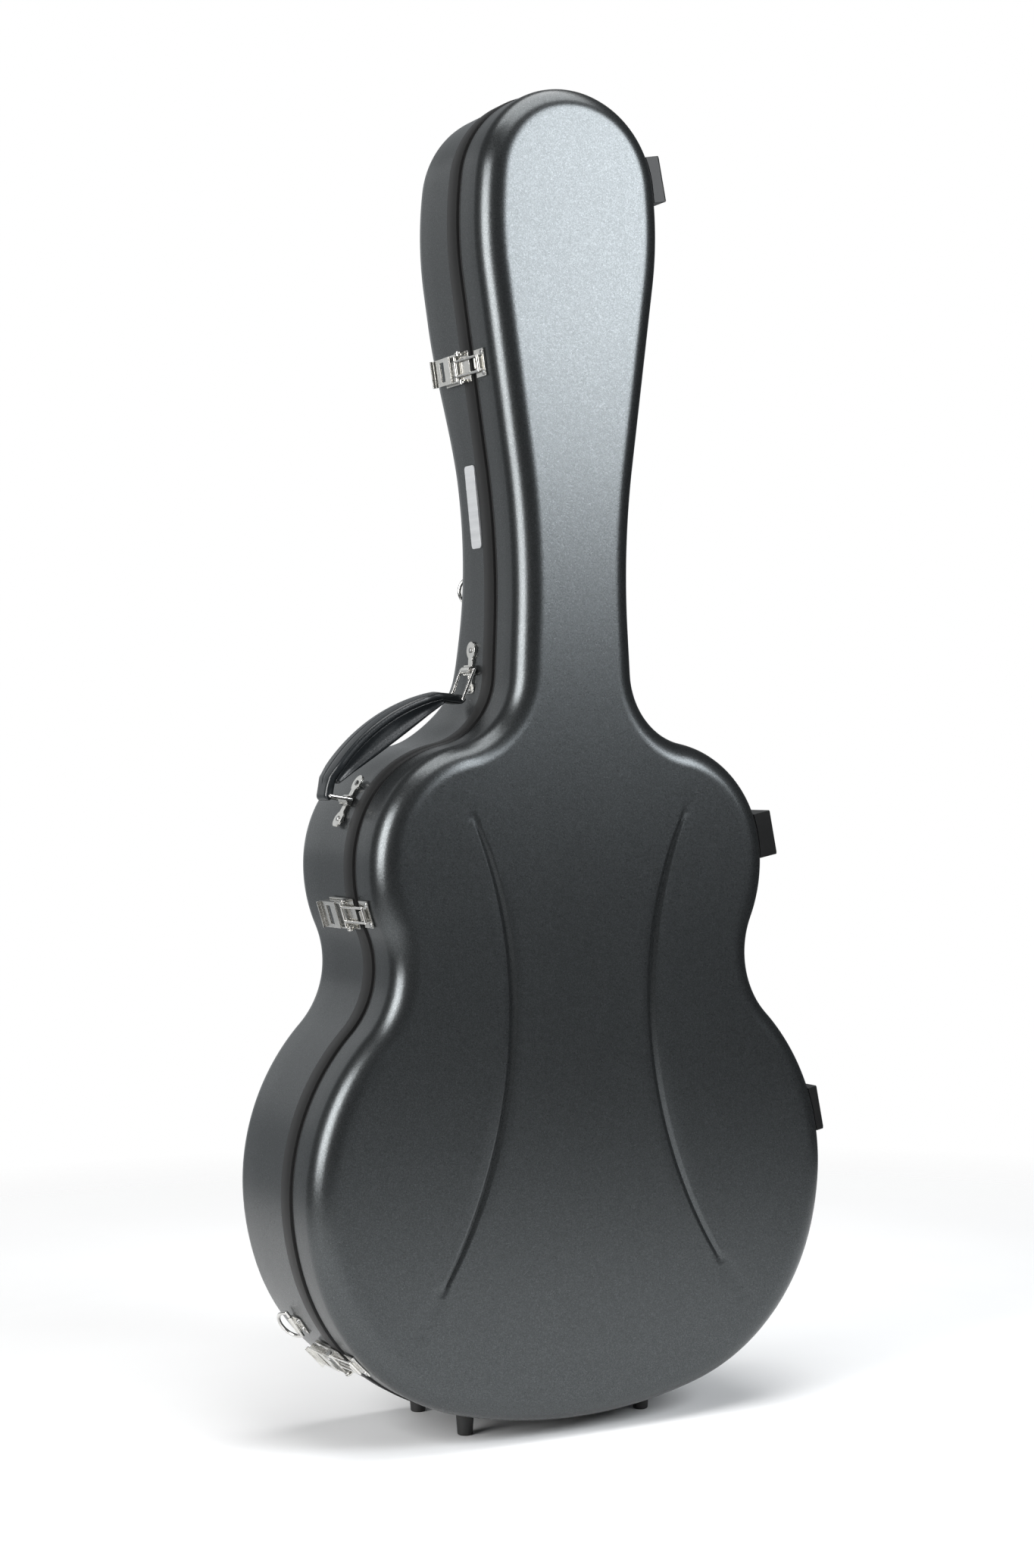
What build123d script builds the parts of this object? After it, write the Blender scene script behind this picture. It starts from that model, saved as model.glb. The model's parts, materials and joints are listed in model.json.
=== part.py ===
from build123d import *
import math
import os

# Hard moulded guitar case for a full-size archtop, standing upright on its bottom feet.
# X: latch side (-) to hinge side (+), the case's width. Y: lid (-) to back (+). Z: up.
# The origin is on the ground, at the middle of the width and near the middle of the depth.
# Millimetres throughout.

# ---- overall shape ------------------------------------------------------------------
FOOT_LIFT = 13.0          # ground to the lowest point of the shells
SEAM_Y = -36.0            # plane where the lid meets the base
LID_DEPTH = 48.0          # seam plane to the flat front of the lid
LID_EDGE_RADIUS = 21.0
BODY_DEPTH = 123.0        # seam plane to the back, over the body
HEAD_DEPTH = 90.0
BACK_EDGE_RADIUS = 19.0
WALL = 3.6                # moulded shell thickness
EDGE_GAP = 2.0            # half of the gap between the two rims, filled by the seal

# Right half of the outline, walked from the bottom centre to the top centre. Arcs are
# (radius, turn in degrees), negative for a turn to the right; straights are (None, length).
# A last arc closes the outline on the centre line.
HALF_OUTLINE = [
    (433.0, 15.6), (182.0, 56.3), (232.0, 14.6), (193.0, 48.0),     # lower bout
    (-77.0, 68.1),                                                  # waist
    (131.0, 26.9), (110.0, 17.9), (101.0, 57.5),                    # upper bout
    (-64.5, 75.8), (None, 38.6), (-747.0, 10.9), (None, 160.0),     # shoulder and neck
    (332.0, 15.4),                                                  # head
]

# The back's side view over the neck: height above the shells' lowest point, depth, slope
BACK_LINE = [
    (585.0, BODY_DEPTH, 0.0), (620.0, 101.5, -0.6), (660.0, 87.0, -0.2), (812.0, 74.0, 0.0),
    (950.0, HEAD_DEPTH, 0.0),
]

# ---- creases pressed into the lid ---------------------------------------------------
CREASE_X = 68.0           # closest to the centre line
CREASE_HEIGHT = 362.0
CREASE_UPPER_RADIUS = 367.0
CREASE_UPPER_REACH = 174.0
CREASE_LOWER_RADIUS = 441.0
CREASE_LOWER_REACH = 270.0
CREASE_DEPTH = 2.0
CREASE_SECTION = 5.0      # radius of the round tool that presses the crease
CREASE_RISE = 2.05        # lift of the tool along a crease, which ends it at the surface

# ---- rims and seal ------------------------------------------------------------------
RIM_PROUD = 1.5
RIM_DEPTH = 20.0
RIM_LIP = 5.0             # inner leg of the rim, measured inward from the outline
RIM_METAL = 1.2
SEAL_SETBACK = 1.2
SEAL_WIDTH = 4.0

# ---- hinges (right side), all three on one slanted line ------------------------------
HINGE_HEIGHTS = {"lower": 249.0, "middle": 500.0, "upper": 1075.0}
HINGE_AXIS_X = 252.0      # at the lower hinge
HINGE_AXIS_SLOPE = -0.1925
HINGE_LENGTH = 40.0
HINGE_LEAF_DEPTH = 34.0   # seam plane to the leaf's far face
HINGE_OVERHANG = 4.0      # leaf face beyond the axis
HINGE_ROOT = 26.0         # leaf length inward of the axis, trimmed to the wall
KNUCKLE_RADIUS = 4.0
HINGE_PIN_RADIUS = 1.6
MIDDLE_KNUCKLE = 14.0     # half of the base leaf's knuckle is 7 either side
KNUCKLE_GAP = 0.4
HINGE_SCREW_Y = 21.0
HINGE_SCREW_SPREAD = 11.0

# ---- latches (left side) -------------------------------------------------------------
LATCH_HEIGHTS = {"lower": 66.0, "middle": 440.0, "upper": 906.0}
LATCH_HALF_WIDTH = 13.2
LATCH_METAL = 1.2
LEVER_PIVOT = (6.5, 14.0)     # outward from the wall, back from the seam
HOOK_PIVOT = (5.6, 24.0)
HOOK_REACH = -14.5            # centre of the hook's cross bar, in front of the seam
HOOK_HALF_SPACING = 6.5
HOOK_WIRE = 1.2
LEVER_END = 58.0
LATCH_RIVETS = [(30.0, -6.5), (30.0, 6.5), (45.5, -6.5), (45.5, 6.5)]
KEEPER_RIVETS = [(-18.5, -8.6), (-18.5, 8.6)]
KEEPER_TOP = 1.6

# ---- handle (left shoulder) ----------------------------------------------------------
HANDLE_Y = 42.0               # middle of the handle, back from the seam
GRIP_CENTRE = (-61.0, 464.5)  # centre of the arch, in the handle's side view
GRIP_OUTER_RADIUS = 166.0
SPINE_THICKNESS = 7.0
GRIP_WIDTH = 28.0
PAD_WIDTH = 25.0
GRIP_END_WIDTH = 21.0
GRIP_ARC = (102.5, 147.0)     # full-width stretch, in degrees, upper end to lower end
PAD_CHORD = ((-90.5, 617.3), (-191.5, 548.7))   # underside of the pad, upper end to lower end
PAD_SAG = -1.5
GRIP_UPPER_EYE = (-73.5, 620.5)
GRIP_LOWER_EYE = (-200.0, 538.5)
LOOP_WIRE = 1.5
LOOP_HALF_WIDTH = 12.5
LOOP_ROOT_HEIGHT = 4.3        # loop pivot above the wall
BRACKET_HEIGHTS = {"upper": 646.0, "lower": 533.0}
BRACKET_HALF_SPACING = 17.5
BRACKET_LOBE = 7.6
BRACKET_TOP = 2.1

# ---- strap rings ---------------------------------------------------------------------
RING_HEIGHTS = {"side": 87.0, "neck": 718.0}
RING_SIDE_START = 56.0        # where the side clip begins, back from the seam
RING_NECK_START = 12.5        # where the neck clip begins on the back, left of the middle
RING_CLIP_LENGTH = 17.0       # clip's start to the ring's bar
RING_BAR = 3.2                # ring's bar above the surface
RING_TILT = 20.0              # lean of the hanging rings away from the surface, in degrees
RING_WIRE = 1.6
RING_HALF_WIDTH = 13.0
RING_PLATE_TOP = 1.6
RING_RIVET_SPREAD = 4.2

NAMEPLATE_HEIGHT = 788.0

# ---- feet ----------------------------------------------------------------------------
FOOT_X = 88.0
FOOT_Y = {"front": 11.0, "back": 103.0}
FOOT_RADIUS = 8.0
FOOT_SCREW_RADIUS = 1.6

# ---- inside --------------------------------------------------------------------------
LINING_GAP = 0.3
CAVITY_MARGIN = 30.0          # lining thickness round the guitar's body
NECK_MARGIN = 26.0
CAVITY_DEPTH = 108.0
NECK_CAVITY_DEPTH = 58.0
CAVITY_TOP = 566.0            # height where the body's space ends and the neck's begins
LINING_JOINTS = (578.0, 800.0)  # heights where the base's foam is divided
LID_PAD_DEPTH = 17.0
BOX_LOW = 582.0
BOX_HIGH = 642.0
BOX_HALF_WIDTH = 27.0
BOX_FRONT = 62.0
BOX_BACK = 81.0
BOX_WALL = 2.5

CLEAR = 0.3                   # gap between neighbours that are not fitted together
RUNNING = 0.05                # radial clearance of pins that turn
RIVET_RADIUS = 1.4
RIVET_TAIL = -3.2             # how far a rivet's shank goes into a wall


# ---- helpers -------------------------------------------------------------------------

def block(low, high):
    """Box between two corners."""
    size = [abs(h - l) for l, h in zip(low, high)]
    middle = [(h + l) / 2 for l, h in zip(low, high)]
    return Pos(*middle) * Box(*size)


def rod(start, end, radius):
    """Round bar between two points."""
    start = Vector(*start)
    along = Vector(*end) - start
    bar = Cylinder(radius, along.length, align=(Align.CENTER, Align.CENTER, Align.MIN))
    return Plane(origin=start, z_dir=along) * bar


def outline_runs(grow=0.0):
    """Runs (start, middle, end) of the right half outline, moved outward by grow."""
    runs = []
    x, z, heading = 0.0, -grow, 0.0
    for radius, amount in HALF_OUTLINE:
        if radius is None:
            end = (x + amount * math.cos(heading), z + amount * math.sin(heading))
            runs.append(((x, z), None, end))
        else:
            side = math.copysign(1.0, radius)
            reach = abs(radius) + side * grow
            cx = x - side * reach * math.sin(heading)
            cz = z + side * reach * math.cos(heading)
            turn = side * math.radians(amount)
            stops = [
                (cx + side * reach * math.sin(heading + t), cz - side * reach * math.cos(heading + t))
                for t in (turn / 2, turn)
            ]
            runs.append(((x, z), stops[0], stops[1]))
            heading += turn
            end = stops[1]
        x, z = end
    closing = math.pi - heading
    reach = x / math.sin(closing)
    cz = z + reach * math.cos(heading)
    half = heading + closing / 2
    runs.append(((x, z), (reach * math.sin(half), cz - reach * math.cos(half)), (0.0, cz + reach)))
    return runs


def outline_face(grow=0.0):
    """The whole outline as a flat face in the seam plane."""
    edges = []
    for side in (1, -1):
        for start, middle, end in outline_runs(grow):
            points = [
                Vector(side * x, SEAM_Y, FOOT_LIFT + z)
                for x, z in ([start, end] if middle is None else [start, middle, end])
            ]
            edges.append(Line(*points) if middle is None else ThreePointArc(*points))
    return Face(Wire(edges))


def slab(grow, front, back):
    """The outline as a plate between two distances behind the seam plane."""
    face = Pos(0, front, 0) * outline_face(grow)
    return extrude(face, amount=back - front, dir=(0, 1, 0))


def wall_point(height, grow=0.0):
    """Half width of the outline at a height, and its outward direction there."""
    for start, middle, end in outline_runs(grow):
        if start[1] <= height <= end[1]:
            break
    if middle is None:
        share = (height - start[1]) / (end[1] - start[1])
        x = start[0] + share * (end[0] - start[0])
        along = Vector(end[0] - start[0], 0, end[1] - start[1]).normalized()
        return x, Vector(along.Z, 0, -along.X)
    arc = ThreePointArc((start[0], 0, start[1]), (middle[0], 0, middle[1]), (end[0], 0, end[1]))
    low, high = 0.0, 1.0
    for _ in range(40):
        share = (low + high) / 2
        if (arc @ share).Z < height:
            low = share
        else:
            high = share
    along = arc % low
    return (arc @ low).X, Vector(along.Z, 0, -along.X)


def station(height, side):
    """Plane on the wall at a height: x outward, y to the back with 0 at the seam."""
    x, out = wall_point(height)
    outward = Vector(side * out.X, 0, out.Z)
    origin = Vector(side * x, SEAM_Y, FOOT_LIFT + height)
    return Plane(origin=origin, x_dir=outward, z_dir=outward.cross(Vector(0, 1, 0)))


def rivet(top, y, across, head=2.4, tail=RIVET_TAIL):
    """Domed rivet at a wall station, its shank going inward from the plate's top face."""
    shank = rod((tail, y, across), (top + 0.2, y, across), RIVET_RADIUS)
    dome = Plane(origin=(top, y, across), z_dir=(1, 0, 0)) * Cylinder(
        head, 1.1, align=(Align.CENTER, Align.CENTER, Align.MIN)
    )
    dome = fillet(dome.edges().sort_by(Axis.X)[-1], 0.9)
    return shank + dome


def rivet_bore(y, across):
    """Hole that a rivet's shank fills, through a plate and the wall below it."""
    return rod((-12, y, across), (8, y, across), RIVET_RADIUS + RUNNING)


# ---- shells --------------------------------------------------------------------------

def lid_form(inset):
    """Outer form of the lid, or the space inside it, with a rounded front edge."""
    depth = LID_DEPTH - inset
    form = slab(-inset, -depth, -EDGE_GAP)
    front = form.faces().sort_by(Axis.Y)[0]
    return fillet(front.edges(), LID_EDGE_RADIUS - inset)


def crease_tool(side, up):
    """Slightly tilted ring segment that presses one half of a crease."""
    radius = CREASE_UPPER_RADIUS if up else CREASE_LOWER_RADIUS
    reach = CREASE_UPPER_REACH if up else CREASE_LOWER_REACH
    offset = radius - math.sqrt(radius**2 - reach**2)
    tilt = math.degrees(math.atan2(CREASE_RISE, offset))
    way = 1 if up else -1
    stop = math.asin(reach / radius)
    points = [
        (side * radius * (1 - math.cos(a)), 0, way * radius * math.sin(a))
        for a in (0.0, stop / 2, stop)
    ]
    path = ThreePointArc(*points)
    ring = sweep(Plane(origin=path @ 0, z_dir=path % 0) * Circle(CREASE_SECTION), path=path)
    centre_y = SEAM_Y - LID_DEPTH + CREASE_DEPTH - CREASE_SECTION
    place = Pos(side * CREASE_X, centre_y, FOOT_LIFT + CREASE_HEIGHT)
    return place * (Rot(0, 0, -side * tilt) * ring)


def lid_shell():
    shell = lid_form(0.0) - lid_form(WALL)
    for side in (1, -1):
        for up in (True, False):
            shell -= crease_tool(side, up)
    return shell - wall_bores(lid_rivet_places())


def base_form(inset):
    """Outer form of the base, or the space inside it: deep body, slim neck, deeper head."""
    start = EDGE_GAP + RIM_METAL + RUNNING
    prism = slab(-inset, start, BODY_DEPTH - inset + 5)
    points = [Vector(0, SEAM_Y + depth - inset, FOOT_LIFT + height) for height, depth, _ in BACK_LINE]
    back_line = Spline(points, tangents=[(0, slope, 1) for _, _, slope in BACK_LINE])
    low, high = points[0], points[-1]
    beyond = 300.0
    bottom = -100.0
    corners = [
        high,
        high + Vector(0, 0, beyond),
        Vector(0, SEAM_Y - 5, high.Z + beyond),
        Vector(0, SEAM_Y - 5, bottom),
        Vector(0, low.Y, bottom),
        low,
    ]
    side_view = Face(Wire([back_line] + [Line(a, b) for a, b in zip(corners, corners[1:])]))
    width = 600.0
    keep = extrude(Pos(-width / 2, 0, 0) * side_view, amount=width, dir=(1, 0, 0))
    form = prism & keep
    shallowest = min(depth for _, depth, _ in BACK_LINE)
    back = [e for e in form.edges() if e.center().Y > SEAM_Y + shallowest - inset - 8]
    return fillet(back, BACK_EDGE_RADIUS - inset)


def base_shell():
    shell = base_form(0.0) - base_form(WALL)
    return shell - wall_bores(base_rivet_places()) - foot_bores()


# ---- rims and seal -------------------------------------------------------------------

def base_rim():
    """Satin channel round the base's mouth, folded over the shell's edge."""
    rim = slab(RIM_PROUD, EDGE_GAP, RIM_DEPTH) - slab(-RIM_LIP, EDGE_GAP - 1, RIM_DEPTH + 1)
    channel = slab(RUNNING, EDGE_GAP + RIM_METAL, RIM_DEPTH + 1)
    channel -= slab(-WALL - RUNNING, EDGE_GAP, RIM_DEPTH + 2)
    rim -= channel
    return rim - wall_bores(base_rivet_places()) - foot_bores()


def lid_rim():
    """Ring that stiffens the inside of the lid's edge."""
    outer = slab(-WALL - RUNNING, -RIM_DEPTH, -EDGE_GAP)
    return outer - slab(-RIM_LIP, -RIM_DEPTH - 1, -EDGE_GAP + 1)


def rim_seal():
    """Soft gasket that fills the line between the base's rim and the lid."""
    outer = slab(-SEAL_SETBACK, -EDGE_GAP + CLEAR, EDGE_GAP)
    return outer - slab(-SEAL_SETBACK - SEAL_WIDTH, -EDGE_GAP, EDGE_GAP + 1)


# ---- hinges --------------------------------------------------------------------------

def hinge_plane(height):
    """Plane on the hinge line: x outward, y to the back, z up along the line."""
    x = HINGE_AXIS_X + HINGE_AXIS_SLOPE * (height - HINGE_HEIGHTS["lower"])
    along = Vector(HINGE_AXIS_SLOPE, 0, 1).normalized()
    outward = Vector(0, 1, 0).cross(along)
    origin = Vector(x, SEAM_Y, FOOT_LIFT + height)
    return Plane(origin=origin, x_dir=outward, z_dir=along)


def hinge_leaf(height, side):
    """One moulded leaf, side -1 on the lid and +1 on the base, trimmed to the wall."""
    half = HINGE_LENGTH / 2
    slope = HINGE_OVERHANG * 1.75
    bevel = 2.5
    profile = Polyline(
        (-HINGE_ROOT, side * 0.4),
        (-0.2, side * 0.4),
        (HINGE_OVERHANG, side * slope),
        (HINGE_OVERHANG, side * (HINGE_LEAF_DEPTH - bevel)),
        (HINGE_OVERHANG - bevel, side * HINGE_LEAF_DEPTH),
        (-HINGE_ROOT, side * HINGE_LEAF_DEPTH),
        close=True,
    )
    body = extrude(make_face(profile), amount=half, both=True)
    ends = [e for e in body.edges() if e.center().X > HINGE_OVERHANG - 0.1 and abs(e.center().Z) > half - 0.1]
    body = chamfer(ends, 1.5)
    middle = MIDDLE_KNUCKLE / 2
    if side > 0:
        knuckles = rod((0, 0, -middle), (0, 0, middle), KNUCKLE_RADIUS)
        free = [(-half - 1, -middle - KNUCKLE_GAP / 2), (middle + KNUCKLE_GAP / 2, half + 1)]
    else:
        knuckles = rod((0, 0, -half + 1.5), (0, 0, half - 1.5), KNUCKLE_RADIUS)
        free = [(-middle - KNUCKLE_GAP / 2, middle + KNUCKLE_GAP / 2)]
    if side < 0:
        cut = rod((0, 0, -middle - KNUCKLE_GAP / 2), (0, 0, middle + KNUCKLE_GAP / 2), KNUCKLE_RADIUS)
        knuckles -= cut
    body += knuckles
    for low, high in free:
        body -= rod((0, 0, low), (0, 0, high), KNUCKLE_RADIUS + 0.5)
    pin_hole = HINGE_PIN_RADIUS + (RUNNING if side < 0 else 0.0)
    body -= rod((0, 0, -half - 1), (0, 0, half + 1), pin_hole)
    for across in (-HINGE_SCREW_SPREAD, HINGE_SCREW_SPREAD):
        y = side * HINGE_SCREW_Y
        body -= rod((-0.1, y, across), (HINGE_OVERHANG + 1, y, across), RIVET_RADIUS + RUNNING)
    leaf = hinge_plane(height) * body
    inside = slab(RIM_PROUD + 0.05 if side > 0 else 0.05, -HINGE_LEAF_DEPTH - 5, HINGE_LEAF_DEPTH + 5)
    return (leaf - inside).solids().sort_by(SortBy.VOLUME)[-1]


def hinge_pin(height):
    half = HINGE_LENGTH / 2
    return hinge_plane(height) * rod((0, 0, -half + 0.8), (0, 0, half - 0.8), HINGE_PIN_RADIUS)


def hinge_screws(side):
    """Two domed screws in the outer face of each leaf on one side of the seam."""
    return [
        hinge_plane(height) * rivet(HINGE_OVERHANG, side * HINGE_SCREW_Y, across, head=2.8, tail=0.0)
        for height in HINGE_HEIGHTS.values()
        for across in (-HINGE_SCREW_SPREAD, HINGE_SCREW_SPREAD)
    ]


# ---- latches -------------------------------------------------------------------------

def latch_plate():
    """Riveted base plate with two ears that carry the lever."""
    half = LATCH_HALF_WIDTH
    over_rim = RIM_PROUD + CLEAR
    top = over_rim + LATCH_METAL
    plate = block((over_rim, 3.0, -half), (top, 50.0, half))
    plate += block((0.4, RIM_DEPTH + 0.3, -half), (over_rim, 50.0, half))
    out, back = LEVER_PIVOT
    for side in (-1, 1):
        ear = block((top - 0.1, back - 5, side * (half - LATCH_METAL)), (out + 1, back + 5, side * half))
        ear += rod((out, back, side * (half - LATCH_METAL)), (out, back, side * half), 3.2)
        plate += ear
    plate -= rod((out, back, -half - 1), (out, back, half + 1), 1.5)
    for y, across in LATCH_RIVETS:
        plate -= rivet_bore(y, across)
    return plate


def latch_lever():
    """Channel-shaped lever with a slotted finger plate, closed flat over the base plate."""
    half = LATCH_HALF_WIDTH - LATCH_METAL - 0.4
    out, back = LEVER_PIVOT
    top = 8.4
    cover = block((top, HOOK_PIVOT[1] + 3.6, -half), (top + LATCH_METAL, LEVER_END, half))
    cover += block((top, LEVER_END - LATCH_METAL, -half), (top + 4.0, LEVER_END, half))
    cover -= block((top - 1, 38.0, -half + 3.2), (top + 2, 45.5, half - 3.2))
    for side in (-1, 1):
        inner = side * (half - LATCH_METAL)
        outer = side * half
        flange = block((4.0, back, inner), (top + 0.1, LEVER_END - 4, outer))
        flange += rod((out, back, inner), (out, back, outer), 2.8)
        cover += flange
    cover -= rod((out, back, -half - 1), (out, back, half + 1), 1.5 + RUNNING)
    hook_out, hook_back = HOOK_PIVOT
    cover -= rod((hook_out, hook_back, -half - 1), (hook_out, hook_back, half + 1), HOOK_WIRE + RUNNING)
    return cover


def latch_hook():
    """Wire hook: a pivot bar in the lever, two runs over the seam and a cross bar."""
    out, back = HOOK_PIVOT
    low = 4.2
    half = HOOK_HALF_SPACING
    pivot_half = LATCH_HALF_WIDTH - LATCH_METAL - 0.5
    hook = rod((out, back, -pivot_half), (out, back, pivot_half), HOOK_WIRE)
    for side in (-1, 1):
        hook += rod((out, back, side * half), (low, HOOK_REACH, side * half), HOOK_WIRE)
        hook += Pos(low, HOOK_REACH, side * half) * Sphere(HOOK_WIRE)
    hook += rod((low, HOOK_REACH, -half), (low, HOOK_REACH, half), HOOK_WIRE)
    return hook


def latch_keeper():
    """Plate on the lid with an upright lip that the hook's cross bar pulls on."""
    half = LATCH_HALF_WIDTH - 1.5
    keeper = block((0.4, -21.5, -half), (KEEPER_TOP, -5.0, half))
    lip_y = HOOK_REACH + HOOK_WIRE + 0.5
    keeper += block((0.5, lip_y, -HOOK_HALF_SPACING + 2.2), (6.4, lip_y + 1.4, HOOK_HALF_SPACING - 2.2))
    for y, across in KEEPER_RIVETS:
        keeper -= rivet_bore(y, across)
    return keeper


def latch_pivots():
    """Two short headed pins that join the ears to the lever."""
    out, back = LEVER_PIVOT
    half = LATCH_HALF_WIDTH
    pins = []
    for side in (-1, 1):
        pin = rod((out, back, side * 10.0), (out, back, side * (half + 0.05)), 1.5)
        pin += rod((out, back, side * half), (out, back, side * (half + 0.8)), 2.3)
        pins.append(pin)
    return pins


def base_rivet_places():
    """Every rivet in the base's wall: (station, plate's top face, y, across)."""
    latch_top = RIM_PROUD + CLEAR + LATCH_METAL
    places = [
        (station(height, -1), latch_top, y, across)
        for height in LATCH_HEIGHTS.values()
        for y, across in LATCH_RIVETS
    ]
    places += [
        (station(height, -1), BRACKET_TOP, HANDLE_Y, side * BRACKET_HALF_SPACING)
        for height in BRACKET_HEIGHTS.values()
        for side in (-1, 1)
    ]
    places += [
        (ring_wall(where), RING_PLATE_TOP, 6.0, across)
        for where in RING_HEIGHTS
        for across in (-RING_RIVET_SPREAD, RING_RIVET_SPREAD)
    ]
    return places


def lid_rivet_places():
    """Every rivet in the lid's wall: (station, plate's top face, y, across)."""
    return [
        (station(height, -1), KEEPER_TOP, y, across)
        for height in LATCH_HEIGHTS.values()
        for y, across in KEEPER_RIVETS
    ]


def wall_bores(places):
    """All the holes for a set of rivets."""
    return Part() + [plane * rivet_bore(y, across) for plane, _, y, across in places]


def rivets(places):
    return [plane * rivet(top, y, across) for plane, top, y, across in places]


# ---- handle --------------------------------------------------------------------------

def handle_point(point):
    """A point of the handle's side view, at the handle's mid depth."""
    return Vector(point[0], SEAM_Y + HANDLE_Y, FOOT_LIFT + point[1])


def loop_root(where):
    """Where a loop pivots in its bracket, in the handle's side view."""
    x, out = wall_point(BRACKET_HEIGHTS[where])
    height = BRACKET_HEIGHTS[where]
    return (-x - LOOP_ROOT_HEIGHT * out.X, height + LOOP_ROOT_HEIGHT * out.Z)


def handle_bracket(where):
    """Dog-bone plate: two riveted lobes and a raised bridge over the loop, trimmed to the wall."""
    spacing = BRACKET_HALF_SPACING
    plate = block((0.3, -3.8, -spacing), (BRACKET_TOP, 3.8, spacing))
    for side in (-1, 1):
        plate += rod((0.3, 0, side * spacing), (BRACKET_TOP, 0, side * spacing), BRACKET_LOBE)
    bridge = block((0.5, -8.0, -4.4), (LOOP_ROOT_HEIGHT, 8.0, 4.4))
    bridge += rod((LOOP_ROOT_HEIGHT, -8.0, 0), (LOOP_ROOT_HEIGHT, 8.0, 0), 3.2)
    plate += bridge
    plate -= rod((LOOP_ROOT_HEIGHT, -9, 0), (LOOP_ROOT_HEIGHT, 9, 0), LOOP_WIRE + RUNNING)
    for side in (-1, 1):
        plate -= rivet_bore(0, side * spacing)
    placed = station(BRACKET_HEIGHTS[where], -1) * (Pos(0, HANDLE_Y, 0) * plate)
    return placed - slab(CLEAR, RIM_DEPTH, BODY_DEPTH)


def handle_loop(where):
    """Rectangular wire loop from the bracket to the grip's eye."""
    root = handle_point(loop_root(where))
    eye = handle_point(GRIP_UPPER_EYE if where == "upper" else GRIP_LOWER_EYE)
    across = Vector(0, LOOP_HALF_WIDTH, 0)
    corners = [root - across, root + across, eye + across, eye - across]
    loop = None
    for start, end in zip(corners, corners[1:] + corners[:1]):
        bar = rod(tuple(start), tuple(end), LOOP_WIRE) + Pos(*end) * Sphere(LOOP_WIRE)
        loop = bar if loop is None else loop + bar
    return loop


def grip_side_view(radius):
    """Point on a circle round the grip's centre."""
    return lambda degrees: Vector(
        GRIP_CENTRE[0] + radius * math.cos(math.radians(degrees)),
        SEAM_Y + HANDLE_Y,
        FOOT_LIFT + GRIP_CENTRE[1] + radius * math.sin(math.radians(degrees)),
    )


def arch(high, low, outer_radius, inner_points):
    """Face of the handle's side view between an outer arc and an inner arc."""
    outer = grip_side_view(outer_radius)
    inner_high, inner_middle, inner_low = inner_points
    return Face(Wire([
        ThreePointArc(outer(high), outer((high + low) / 2), outer(low)),
        Line(outer(low), inner_low),
        ThreePointArc(inner_low, inner_middle, inner_high),
        Line(inner_high, outer(high)),
    ]))


def handle_grip():
    """Arched spine of the handle, with an eye for the wire loop at each end."""
    high, low = GRIP_ARC
    inner = grip_side_view(GRIP_OUTER_RADIUS - SPINE_THICKNESS)
    inner_points = (inner(high), inner((high + low) / 2), inner(low))
    face = arch(high, low, GRIP_OUTER_RADIUS, inner_points)
    body = extrude(Pos(0, -GRIP_WIDTH / 2, 0) * face, amount=GRIP_WIDTH, dir=(0, 1, 0))
    body = fillet(body.edges().filter_by(GeomType.CIRCLE), 2.5)
    middle = grip_side_view(GRIP_OUTER_RADIUS - SPINE_THICKNESS / 2)
    half = GRIP_END_WIDTH / 2
    for eye, end in ((GRIP_UPPER_EYE, high), (GRIP_LOWER_EYE, low)):
        start = middle(end + (3 if end == high else -3))
        stop = handle_point(eye)
        along = (stop - start).normalized()
        tab_plane = Plane(origin=start, x_dir=(0, 1, 0), z_dir=along)
        body += tab_plane * block((-half, -3.2, 0), (half, 3.2, (stop - start).length))
        reach = Vector(0, half, 0)
        body += rod(tuple(stop - reach), tuple(stop + reach), 4.0)
        reach = Vector(0, half + 9, 0)
        body -= rod(tuple(stop - reach), tuple(stop + reach), LOOP_WIRE + 0.4)
    return body


def handle_pad():
    """Palm pad that fills the arch of the spine down to a nearly straight underside."""
    high, low = GRIP_ARC
    upper, lower = (handle_point(point) for point in PAD_CHORD)
    along = (lower - upper).normalized()
    outward = Vector(along.Z, 0, -along.X)
    face = arch(high + 2, low - 2, GRIP_OUTER_RADIUS - SPINE_THICKNESS - 0.02, (
        upper, (upper + lower) / 2 + outward * PAD_SAG, lower
    ))
    pad = extrude(Pos(0, -PAD_WIDTH / 2, 0) * face, amount=PAD_WIDTH, dir=(0, 1, 0))
    under = [e for e in pad.edges() if (e.center() - upper).dot(outward) < 0.5]
    pad = fillet([e for e in under if abs(e.center().Y - upper.Y) > PAD_WIDTH / 2 - 0.1], 3.0)
    return pad - handle_grip()


# ---- strap rings ---------------------------------------------------------------------

def back_depth(height):
    """Depth of the back below the seam plane at a height, read off the back's side view."""
    points = [Vector(0, depth, z) for z, depth, _ in BACK_LINE]
    line = Spline(points, tangents=[(0, slope, 1) for _, _, slope in BACK_LINE])
    low, high = 0.0, 1.0
    for _ in range(30):
        share = (low + high) / 2
        if (line @ share).Z < height:
            low = share
        else:
            high = share
    return (line @ low).Y


def ring_wall(where):
    """Plane on the surface where a ring's clip begins: x outward, y towards the ring."""
    height = RING_HEIGHTS[where]
    if where == "side":
        wall = station(height, -1)
        origin = wall.from_local_coords((0, RING_SIDE_START, 0))
        return Plane(origin=origin, x_dir=wall.x_dir, z_dir=wall.z_dir)
    slope = (back_depth(height + 1) - back_depth(height - 1)) / 2
    outward = Vector(0, 1, -slope).normalized()
    origin = Vector(-RING_NECK_START, SEAM_Y + back_depth(height), FOOT_LIFT + height)
    return Plane(origin=origin, x_dir=outward, z_dir=outward.cross(Vector(-1, 0, 0)))


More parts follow.
